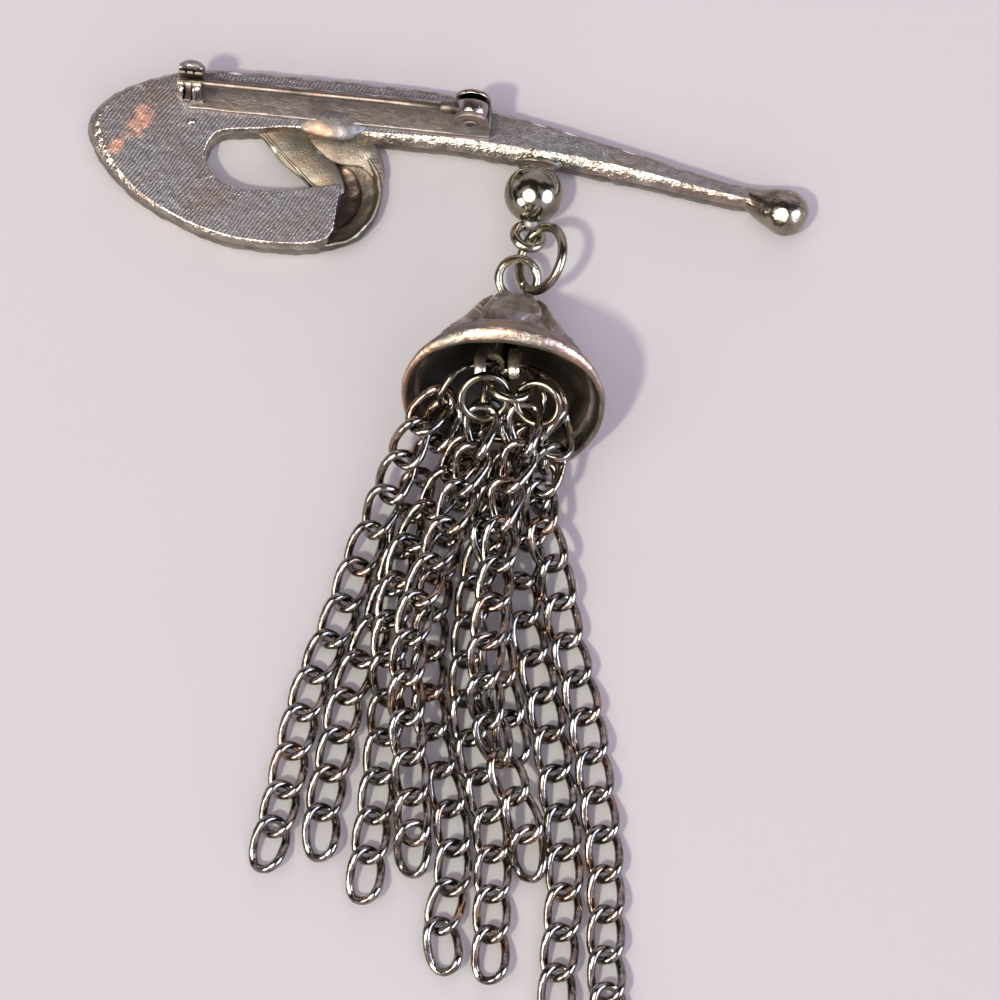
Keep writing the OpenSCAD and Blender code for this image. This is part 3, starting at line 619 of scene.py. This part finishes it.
# rows: x, y, z, half width, half height
limbs = {
    "tongue": {"look": "curlMetal", "lump": 0.02, "rows": [
        [-28.0, 43.4, 1.5, 0.6, 0.6], [-25.8, 42.9, 1.6, 0.9, 0.6], [-24.0, 42.3, 1.7, 1.3, 0.6],
        [-22.2, 41.3, 1.8, 1.9, 0.6], [-20.6, 40.2, 1.85, 2.2, 0.62], [-19.0, 39.0, 1.8, 2.1, 0.62],
        [-17.6, 37.9, 1.6, 1.8, 0.6], [-16.4, 36.8, 1.3, 1.3, 0.55], [-15.6, 35.9, 1.0, 0.7, 0.4]]},
    "tongueRim": {"look": "curlMetal", "lump": 0.03, "rows": [
        [-26.3, 43.1, 1.4, 0.2, 0.7], [-24.9, 42.1, 1.5, 0.22, 0.8], [-23.4, 40.7, 1.6, 0.24, 0.85],
        [-22.0, 39.4, 1.6, 0.24, 0.85], [-20.4, 38.0, 1.6, 0.24, 0.85], [-18.9, 36.7, 1.4, 0.22, 0.8],
        [-18.0, 35.9, 1.2, 0.2, 0.6]]},
    "solderBlob": {"look": "solder", "lump": 0.1, "rows": [
        [-21.0, 43.3, 2.8, 0.6, 0.4], [-19.8, 43.2, 3.1, 1.3, 0.7], [-18.2, 43.3, 3.3, 1.8, 0.8],
        [-16.6, 43.2, 3.3, 1.9, 0.85], [-15.0, 43.4, 3.2, 1.7, 0.8], [-13.6, 43.5, 3.0, 0.9, 0.5]]},
    # its finish is darkened as painted shade on the slope
    "curlShoulder": {"look": "curlShoulderPaintedShade", "lump": 0.08, "rows": [
        [-20.0, 41.3, 1.6, 0.9, 0.5], [-18.2, 41.4, 1.8, 1.5, 0.6], [-16.2, 41.2, 1.9, 2.0, 0.6],
        [-14.2, 40.8, 1.85, 1.9, 0.55], [-12.7, 39.9, 1.7, 1.3, 0.5], [-11.8, 38.6, 1.5, 0.8, 0.4],
        [-11.5, 37.6, 1.4, 0.4, 0.3]]},
    "catchBead": {"look": "catchSilver", "lump": 0.08, "sides": 14, "steps": 4, "rows": [
        [-32.7, 41.7, 3.4, 0.15, 0.1], [-32.5, 41.7, 3.5, 0.36, 0.3], [-32.2, 41.7, 3.55, 0.42, 0.4],
        [-31.9, 41.75, 3.45, 0.3, 0.25]]},
    "barBurr": {"look": "castSide", "lump": 0.08, "sides": 16, "steps": 4, "rows": [
        [-7.0, 42.4, 0.9, 0.2, 0.2], [-6.7, 42.25, 0.9, 0.45, 0.45], [-6.3, 42.2, 0.9, 0.5, 0.5],
        [-5.9, 42.3, 0.9, 0.35, 0.35], [-5.7, 42.5, 0.9, 0.15, 0.15]]},
    "eyeCollar": {"look": "solder", "lump": 0.08, "sides": 16, "steps": 4, "rows": [
        [5.1, 33.6, 2.5, 0.5, 0.4], [5.15, 34.1, 2.65, 0.85, 0.7], [5.2, 34.8, 2.8, 0.9, 0.8],
        [5.2, 35.4, 3.0, 0.5, 0.5]]},
}


def makeLimb(name):
    limb = {"sides": 28, "steps": 8, "size": 1.1, **limbs[name]}
    bm = bmesh.new()
    sweep(bm, curve(limb["rows"], limb["steps"]), limb["sides"])
    lumpy(bm.verts, limb["size"], limb["lump"])
    return finish(name, bm, [limb["look"]])


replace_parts(makeCasting(), "brooch_body")
makeCurl()
makeBall()
makeEndBall()
for name in limbs:
    if name != "eyeCollar":
        makeLimb(name)
makeHoop("dropEye")
makeLimb("eyeCollar")
print("casting made")


# the pin finding, soldered to the back

# y, z: the pin's axis; hinge, catch: places along x of the pivot and of the housing's start
finding = {"y": 44.9, "z": 7.2, "hinge": -2.2, "catch": -33.7, "catchLength": 2.6}
plate = {"start": -32.6, "length": 32.4, "width": 3.6, "thick": 1.0, "top": 4.0, "edge": 0.13,
         "insets": (0.25, 0.6), "lumps": (0.6, 0.05)}
pivotPoint = moved((finding["hinge"], finding["y"], finding["z"]))
catchPoint = moved((finding["catch"], finding["y"], finding["z"])) @ spun(x=90, z=90)


def makePlate():
    bm = bmesh.new()
    length, thick = plate["length"], plate["thick"]
    middle = (plate["start"] + length / 2, finding["y"], plate["top"] - thick / 2)
    block(bm, (length, plate["width"], thick), moved(middle), plate["edge"])
    top = [f for f in bm.faces if f.normal.z > 0.99 and f.calc_area() > 20]
    for inset in plate["insets"]:
        ops.inset_region(bm, faces=top, thickness=inset)
    long = [e for e in bm.edges if abs(e.verts[0].co.x - e.verts[1].co.x) > 20]
    ops.subdivide_edges(bm, edges=long, cuts=40, use_grid_fill=True)
    lumpy(bm.verts, *plate["lumps"])
    return finish("plate", bm, ["platedFinding"])


# radius of the round top, half width and depth of the foot, thickness of the sheet
ear = {"radius": 1.9, "foot": 2.1, "low": -3.7, "sheet": 0.5, "edge": 0.1}
ears = {"earRear": {"start": 1.0, "lean": -10, "look": "catchSilver"},
        "earFront": {"start": -1.5, "lean": -4, "look": "solder"}}


def makeEar(name):
    bm = bmesh.new()
    foot, low, side = ear["foot"], ear["low"], ears[name]
    outline = arc(ear["radius"], range(0, 181, 10)) + [(-foot, low), (foot, low)]
    slab(bm, [(x, 0, z) for x, z in outline], (0, ear["sheet"], 0))
    soften(bm, [e for e in bm.edges if e.calc_face_angle(0) > 0.8], ear["edge"])
    ops.translate(bm, vec=(0, side["start"], 0), verts=bm.verts)
    ops.transform(bm, matrix=pivotPoint @ spun(x=side["lean"]), verts=bm.verts)
    return finish(name, bm, [side["look"]])


# columns: radius, place along the pivot
pivotShape = [(0, -1.62), (0.3, -1.66), (0.62, -1.74), (0.8, -1.7), (0.84, -1.58), (0.5, -1.45), (0.5, 1.45),
              (0.8, 1.55), (0.8, 1.66), (0.6, 1.76), (0, 1.8)]


def makePivot():
    # the pivot and its two set heads; the front one is painted dark, as the shade of a dimple
    bm = bmesh.new()
    turned(bm, pivotShape, 40, matrix=pivotPoint @ spun(x=-90))
    for f in bm.faces:
        f.material_index = 1 if f.calc_center_median().y < finding["y"] - 1.63 else 0
    return finish("pivot", bm, ["catchSilver", "paintedShadeDark"])


# rows: places along the band; cut: between which of them the tab has room; foot: its size and middle height
housing = {"radius": 2.3, "sheet": 0.7, "swing": 295, "turn": 125, "rows": [0, 0.4, 0.82, 1.3, 1.78, 2.2],
           "cut": (0.82, 1.78), "swell": (1.02, 0.17, 2.5), "edge": 0.16, "foot": (2.3, 1.9), "footZ": 4.35}


def makeHousing():
    # a sheet rolled round the roller, open on top, with a cut for the tab; then given its thickness
    bm = bmesh.new()
    length = finding["catchLength"]
    start = [bm.verts.new((housing["radius"], 0, along)) for along in housing["rows"] + [length]]
    edges = [bm.edges.new(pair) for pair in zip(start, start[1:])]
    ops.spin(bm, geom=start + edges, cent=(0, 0, 0), axis=(0, 0, 1), angle=radians(housing["swing"]), steps=59)
    ops.remove_doubles(bm, verts=bm.verts, dist=0.001)
    ops.rotate(bm, cent=(0, 0, 0), matrix=spun(z=housing["turn"]).to_3x3(), verts=bm.verts)
    low, high = housing["cut"]
    middles = [(f, f.calc_center_median()) for f in bm.faces]
    cut = [f for f, c in middles if low < c.z < high and c.x < 0 and c.y > 0.12]
    ops.delete(bm, geom=cut, context="FACES")
    ops.recalc_face_normals(bm, faces=bm.faces)
    outward = bm.faces[:][0]
    if outward.normal.dot(outward.calc_center_median() * Vector((1, 1, 0))) < 0:
        ops.reverse_faces(bm, faces=bm.faces)
    ops.solidify(bm, geom=bm.faces[:], thickness=housing["sheet"])
    most, fall, power = housing["swell"]
    for v in bm.verts:
        if v.co.to_2d().length > 2.0:   # the band swells in the middle, as stamped metal does
            v.co.x, v.co.y = v.co.to_2d() * (most - fall * abs(2 * v.co.z / length - 1) ** power)
    soften(bm, [e for e in bm.edges if e.calc_face_angle(0) > 0.9], housing["edge"], clamp_overlap=True)
    ops.transform(bm, matrix=catchPoint, verts=bm.verts)
    middle = (finding["catch"] + length / 2, finding["y"], housing["footZ"])
    block(bm, (length - 0.1, *housing["foot"]), moved(middle), 0.15)
    return finish("catchHousing", bm, ["catchSilver"])


wireRadius = 0.375
# columns: radius, distance from the pivot
stemShape = [(0, 1.0), (0.74, 1.0), (0.57, 3.3), (0.52, 3.38), (wireRadius, 3.42), (wireRadius, 10),
             (wireRadius, 17), (wireRadius, 24), (wireRadius, 28.8), (0.34, 29.4), (0.24, 30.4), (0.12, 31.3),
             (0.05, 31.7), (0, 31.8)]
# columns: radius, place along the pivot
knuckle = [(0.55, -0.7), (1.5, -0.7), (1.64, -0.66), (1.7, -0.54), (1.7, 0.66), (1.64, 0.8), (1.5, 0.85),
           (0.55, 0.85)]


def makeStem():
    bm = bmesh.new()
    turned(bm, stemShape, 28, matrix=spun(y=-90))
    stem = set(bm.faces)
    turned(bm, knuckle, 56, closed=True, matrix=spun(x=90))
    for f in bm.faces:
        f.material_index = 0 if f in stem else 1
    ops.transform(bm, matrix=pivotPoint, verts=bm.verts)
    return finish("pinWire", bm, ["drawnSteel", "catchSilver"], body="pin")


# columns: start and end along the roller, radius; the thin ones are grooves beside the tab
roller = [(0, 0.74, 1.5), (0.7, 0.95, 1.2), (0.92, 1.58, 1.5), (1.55, 1.8, 1.2), (1.76, 2.6, 1.5)]
tab = {"size": (1.36, 0.5, 0.72), "out": 1.9, "turn": 164}
slotHalf = 0.475


def makeRoller():
    bm = bmesh.new()
    for start, end, r in roller:
        outline = arc(r, range(112, 429, 6)) + [(slotHalf, r - 0.3), (slotHalf, 0.0)]
        outline += arc(slotHalf, range(-30, -180, -30)) + [(-slotHalf, 0.0), (-slotHalf, r - 0.3)]
        slab(bm, [(x, y, start) for x, y in outline], (0, 0, end - start))
    soften(bm, [e for e in bm.edges if e.calc_face_angle(0) > 1.0], 0.06, 2)
    where = spun(z=tab["turn"]) @ moved((tab["out"], 0, finding["catchLength"] / 2))
    block(bm, tab["size"], where, 0.1)
    ops.transform(bm, matrix=catchPoint, verts=bm.verts)
    return finish("catchTurn", bm, ["drawnSteel"], body="catch", smooth=False)


makePlate()
for name in ears:
    makeEar(name)
makePivot()
makeHousing()
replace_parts(makeStem(), "pin_stem")
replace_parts(makeRoller(), "catch_roller")
print("pin finding made")


# jump ring, bell cap and its wires

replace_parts(makeHoop("openRing"), "jump_ring")

bell = {"crown": (4.5, 24.7, 1.68), "rise": 32.1, "leaves": 5, "leaf": 0.7, "bead": 0.34, "body": 0.35,
        "lumps": (0.55, 0.10)}
# columns: radius, height; round the hole in the crown, and back down the inside
crownShape = [(1.3, -0.5), (1.9, -0.55), (2.15, -0.3), (2.2, 0.4)]
innerShape = [(9.5, 12.9), (8, 12), (5.3, 8.5), (1.7, 1.2), (1.3, 1.0)]
# columns: height along the cap, radius of the plain cone there, steps up to it
cone = [(0.4, 2.2, 0), (8.5, 6.2, 48), (12.0, 8.8, 16)]
# columns: height along the cap, half width of a leaf there
leafTable = [(0.3, 1.1), (3, 1.8), (6, 2.6), (7.6, 2.8), (8.9, 2.4), (10, 1.5), (10.9, 0.6), (11.4, 0.0)]
# columns: radius, height, and how far the top of the rim rolls forward and in
lipTable = [(9.15, 12.3, 0, 0), (9.35, 12.36, 0, 0), (9.66, 12.4, 0, 0), (9.82, 12.55, 0, 0), (10.05, 12.9, 0, 0),
            (10.12, 13.08, 0.05, 0), (10.08, 13.2, 0.1, 0), (10.28, 13.3, 0.1, 0), (10.52, 13.6, 0.15, -0.05),
            (10.68, 13.95, 0.25, -0.1), (10.62, 14.14, 0.5, -0.2), (10.45, 14.2, 0.8, -0.45),
            (10.25, 14.2, 1.1, -0.8), (10.1, 14.1, 1.2, -1.1), (9.95, 13.7, 1.1, -1.1), (9.5, 12.9, 0.5, -0.5)]


def limit(value):
    return min(1.0, max(0.0, value))


def leafRise(radius, angle, h):
    # how far a leaf, its rib and its beaded edge stand out of the cone
    sector = 360 / bell["leaves"]
    near = (np.degrees(angle) - 90 + sector / 2) % sector - sector / 2
    across = radius * abs(sin(radians(near)))
    width = np.interp(h, *zip(*leafTable))
    leaf = limit((width - across) / 0.18) * limit((11.6 - h) / 1.2)
    rise = bell["leaf"] * leaf * limit((h - 0.2) / 0.5)
    rise += bell["body"] * limit((h - 0.3) / 2.0) * min(1, (11.9 - h) / 3)
    rise += exp(-(across / 0.16) ** 2) * leaf * (0.12 if h < 9 else 0.05)
    return rise + exp(-((width - 0.35 - across) / 0.22) ** 2) * bell["bead"] * leaf


def makeBell():
    bm = bmesh.new()
    outer = list(crownShape)
    for (low, small, _), (high, large, steps) in zip(cone, cone[1:]):
        outer += [(small + (large - small) * k / steps, low + (high - low) * k / steps)
                  for k in range(1, steps + 1)]
    outer += [row[:2] for row in lipTable]
    new = turned(bm, outer + curve(innerShape, 5)[1:], 240, closed=True)
    heights, radii, _ = zip(*cone)
    for v in new:
        x, y, h = v.co
        radius = (x * x + y * y) ** 0.5
        if 0.3 < h < 11.9 and abs(radius - np.interp(h, heights, radii)) < 0.05:
            v.co += Vector((x / radius, y / radius, -0.45)).normalized() * leafRise(radius, np.arctan2(y, x), h)
        elif h > 12.2:
            row = min(lipTable, key=lambda each: abs(each[0] - radius) + abs(each[1] - h))
            if abs(row[0] - radius) + abs(row[1] - h) < 0.02:
                top = max(0, y / radius) ** 2
                v.co += Vector((x / radius * row[3], y / radius * row[3], row[2])) * top
    lumpy(new, *bell["lumps"])
    # inside faces take the near-black finish, which is painted shade
    for f in bm.faces:   # the lip is rubbed and the inside is dark
        x, y, h = f.calc_center_median()
        radius = (x * x + y * y) ** 0.5
        if h > 12.35 and radius > 9.45:
            f.material_index = 1
        elif radius < 1.7 + (h - 1.2) * 0.507 or (h > 8.5 and radius < 5.9 + (h - 8.5) * 0.75):
            f.material_index = 2
    where = moved(bell["crown"]) @ spun(x=90 - bell["rise"])
    ops.transform(bm, matrix=where, verts=bm.verts)
    for v in bm.verts:
        v.co.z = max(v.co.z, 0.02)
    return finish("leafCap", bm, ["agedCap", "capLip", "paintedShadeDark"])


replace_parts(makeBell(), "bell_cap")

# two hidden wires that the chains hang on: each is a tilted arc, with a few points before it and after it
hangers = {
    "outer": {"middle": (4.5, 12.4, 9.3), "radius": 6.5, "tilt": 70, "angles": range(172, 373, 10),
        "before": [[3.2, 16.8, 8.6], [1.6, 16.2, 9.8], [-0.6, 14.9, 10.7]],
        "after": [[10.0, 14.4, 10.7], [7.8, 16.0, 9.8], [5.6, 16.7, 8.4]]},
    "inner": {"middle": (5.6, 12.4, 8.6), "radius": 3.2, "tilt": 70, "angles": range(185, 330, 16),
        "before": [[3.4, 16.9, 7.9], [2.6, 15.2, 8.6]],
        "after": [[8.7, 13.8, 8.2], [7.4, 15.8, 8.2], [5.6, 16.9, 7.8]]},
}
hookWire = {"shown": 0.42, "hidden": 0.4}   # radii
# columns: x, y, z, and for all but the round wire the half width and half height
hook = {
    "shank": [[4.45, 26.3, 2.3, 0.4, 0.4], [4.45, 25.7, 2.05, 0.5, 0.5], [4.5, 24.7, 1.72, 0.72, 0.72],
        [4.5, 23.0, 2.74, 0.8, 0.8], [4.5, 17.9, 5.94, 0.8, 0.8], [4.5, 16.6, 6.8, 0.9, 0.9],
        [4.5, 16.0, 7.2, 0.8, 0.8]],
    "prongLeft": [[4.0, 17.0, 6.9, 0.65, 0.25], [3.0, 17.6, 8.6, 0.65, 0.24], [2.0, 17.5, 10.2, 0.65, 0.22],
        [1.7, 16.4, 11.4, 0.65, 0.22], [1.85, 15.0, 11.7, 0.62, 0.22], [2.0, 14.2, 11.0, 0.55, 0.22]],
    "prongRight": [[5.0, 17.0, 6.9, 0.65, 0.25], [5.3, 17.8, 8.6, 0.65, 0.24], [5.3, 17.9, 10.2, 0.65, 0.22],
        [5.2, 16.8, 11.4, 0.65, 0.22], [5.35, 15.4, 11.7, 0.62, 0.22], [5.5, 14.7, 11.0, 0.55, 0.22]],
    "uWire": [[2.1, 15.6, 10.3], [2.75, 14.9, 10.7], [3, 14.1, 11], [3.5, 13.1, 11.4], [4.3, 12.5, 11.6],
        [5.1, 12.3, 11.6], [6.1, 12.4, 11.4], [6.9, 13, 11], [7.25, 14, 10.4], [7.1, 15, 10.1], [6.5, 16, 9.8]],
}


def hangerPath(name):
    hanger = hangers[name]
    tilt, path = radians(hanger["tilt"]), list(hanger["before"])
    for x, y in arc(hanger["radius"], hanger["angles"]):
        path.append(list(Vector(hanger["middle"]) + Vector((x, y * cos(tilt), y * sin(tilt)))))
    return path + hanger["after"]


def makeHook():
    bm = bmesh.new()
    addHoop(bm, "loop")
    plain = set(bm.faces)
    for label in ("prongLeft", "prongRight"):
        sweep(bm, curve(hook[label], 5), 14)
    prongs = set(bm.faces) - plain
    wire(bm, curve(hook["uWire"], 5), hookWire["shown"], 14)
    shown = set(bm.faces)
    sweep(bm, curve(hook["shank"], 4), 16)
    for label in hangers:
        wire(bm, curve(hangerPath(label), 3), hookWire["hidden"], 12)
    for f in bm.faces:
        f.material_index = 1 if f in prongs else 0 if f in shown else 2
    lumpy(bm.verts, 1.2, 0.04)
    return finish("hookWires", bm, ["hookSilver", "prongSilver", "shadedWire"])


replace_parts(makeHook(), "bell_hook")
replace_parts(makeHoop("ringLeft"), "gather_ring_left")
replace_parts(makeHoop("ringRight"), "gather_ring_right")
print("cap and wires made")


# chains: each link stands where the CAD chain has one, and is a finer twisted loop of wire

# around and sides: points round the link and round its wire; lift: the least gap under a link's wire
chain = {"halfLength": 2.68, "halfWidth": 1.66, "twist": 44, "wire": 0.47, "around": 14, "sides": 6, "roll": 16,
         "blunt": 0.68, "lift": 0.18}


def linkPlaces(cadNode):
    # the middle, the long axis and the wide axis of each loose link of the CAD chain
    bm = bmesh.new()
    bm.from_mesh(cadNode.data)
    ops.remove_doubles(bm, verts=bm.verts, dist=1e-6)
    seen, places = set(), []
    for first in bm.verts:
        if first in seen:
            continue
        island = [first]
        seen.add(first)
        for v in island:   # the list grows while it is walked
            for e in v.link_edges:
                other = e.other_vert(v)
                if other not in seen:
                    seen.add(other)
                    island.append(other)
        points = np.array([v.co[:] for v in island]) / mm
        centre = points.mean(0)
        axes = np.linalg.eigh(np.cov((points - centre).T))[1]
        places.append((Vector(centre) - shift, Vector(axes[:, 2]), Vector(axes[:, 1])))
    bm.free()
    return places


def addLink(bm, centre, along, across):
    free = min(1, max(0.2, (centre.z - 1.0) / 2))   # a link on the floor has little room to roll
    roll = radians(chain["roll"]) * noise.noise(centre * 0.37) * 2 * free
    across = Matrix.Rotation(roll, 3, along) @ across
    normal = along.cross(across)
    count, rings, path = chain["around"], [], []
    for k in range(count):
        x, y = cos(2 * pi * k / count), sin(2 * pi * k / count)
        u = chain["halfLength"] * np.sign(x) * abs(x) ** chain["blunt"]
        v = chain["halfWidth"] * np.sign(y) * abs(y) ** chain["blunt"]
        turn = radians(chain["twist"]) * np.sign(u) * (abs(u) / chain["halfLength"]) ** 0.7
        path.append(centre + along * u + across * (v * cos(turn)) + normal * (v * sin(turn)))
    lift = max(0, chain["wire"] + chain["lift"] - min(p.z for p in path))
    path = [p + Vector((0, 0, lift)) for p in path]
    # pushed out a little, so that the smoothed wire still passes through its points
    path = [p + (2 * p - path[k - 1] - path[(k + 1) % count]) / 6 for k, p in enumerate(path)]
    for k, p in enumerate(path):
        ahead = (path[(k + 1) % count] - path[k - 1]).normalized()
        out = p - centre
        out = (out - ahead * out.dot(ahead)).normalized()
        axes = Matrix((out, ahead.cross(out), ahead)).transposed().to_4x4()
        made = ops.create_circle(bm, segments=chain["sides"], radius=chain["wire"] * 1.2, matrix=moved(p) @ axes)
        rings.append(made["verts"])
    bridge(bm, rings + rings[:1], caps=False)


total = 0
for number in range(1, 11):
    bm = bmesh.new()
    for linkPlace in linkPlaces(nodes["chain_%d" % number]):
        addLink(bm, *linkPlace)
        total += 1
    piece = finish("links_%d" % number, bm, ["gunmetal"], levels=1)
    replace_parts(piece, "chain_%d" % number)
print("chain links made:", total)


# floor and light

ground = {"Base Color": (0.80, 0.79, 0.80, 1), "Roughness": 0.75, "Specular IOR Level": 0.0}


def makeFloor():
    bm = bmesh.new()
    ops.create_grid(bm, x_segments=1, y_segments=1, size=1.5)
    floor = addMesh("floor", bm)
    material, shader = addMaterial("paleFloor")
    for key, value in ground.items():
        shader.inputs[key].default_value = value
    floor.data.materials.append(material)


# from: to the right, up in the picture and up from the floor; distance and size in mm
lights = {
    "key": {"from": (-0.69, -0.73, 1.74), "distance": 1600, "size": 128, "energy": 8.9,
        "colour": (0.98, 0.98, 0.76)},
    "fill": {"from": (0.0, 0.0, 1.0), "distance": 1500, "size": 2600, "energy": 8.4, "colour": (0.94, 0.83, 1.0),
        "hide": "glossy"},
    "keyPanel": {"from": (-0.60, -0.65, 1.74), "distance": 500, "size": 460, "energy": 5.4,
        "colour": (1.0, 0.97, 0.90), "hide": "diffuse"},
    "lowPanel": {"from": (-0.78, -0.55, 0.32), "distance": 480, "size": 240, "energy": 1.7,
        "colour": (1.0, 0.95, 0.86), "hide": "diffuse"},
    "sidePanel": {"from": (0.843, -0.24, 0.481), "distance": 500, "size": 400, "energy": 4.6,
        "colour": (0.58, 0.70, 1.0), "hide": "diffuse"},
}
lightAim = Vector((0.005, 0, 0))


def makeLight(name):
    values = lights[name]
    data = bpy.data.lights.new(name, "AREA")
    data.shape = "DISK"
    data.size = values["size"] * mm
    data.energy = values["energy"]
    data.color = values["colour"]
    x, y, z = values["from"]
    where = (right * x + up * y + Vector((0, 0, z))).normalized()
    holder = addObject(name, data)
    holder.matrix_world = (moved(where * values["distance"] * mm + lightAim)
                           @ where.to_track_quat("Z", "Y").to_matrix().to_4x4())
    if "hide" in values:
        setattr(holder, "visible_" + values["hide"], False)


room = {"size": 1.6, "strength": 1.0, "from": 0.42, "low": (0.06, 0.045, 0.04, 1), "to": 0.55,
        "high": (0.95, 0.84, 1.02, 1)}


def makeWorld():
    # a pale room with darker and brighter parts, which polished metal shows
    world = bpy.data.worlds.new("studio")
    world.use_nodes = True
    tree = world.node_tree
    where = node(tree, "ShaderNodeTexCoord").outputs["Generated"]
    ramp = node(tree, "ShaderNodeValToRGB", cloud(tree, where, room["size"], 1.5, 0.4))
    for step, at, colour in zip(ramp.color_ramp.elements, (room["from"], room["to"]), (room["low"], room["high"])):
        step.position = at
        step.color = colour
    back = tree.nodes["Background"].inputs
    feed(tree, back["Color"], ramp.outputs["Color"])
    feed(tree, back["Strength"], room["strength"])
    bpy.context.scene.world = world


makeFloor()
makeWorld()
for name in lights:
    makeLight(name)
print("stage made")
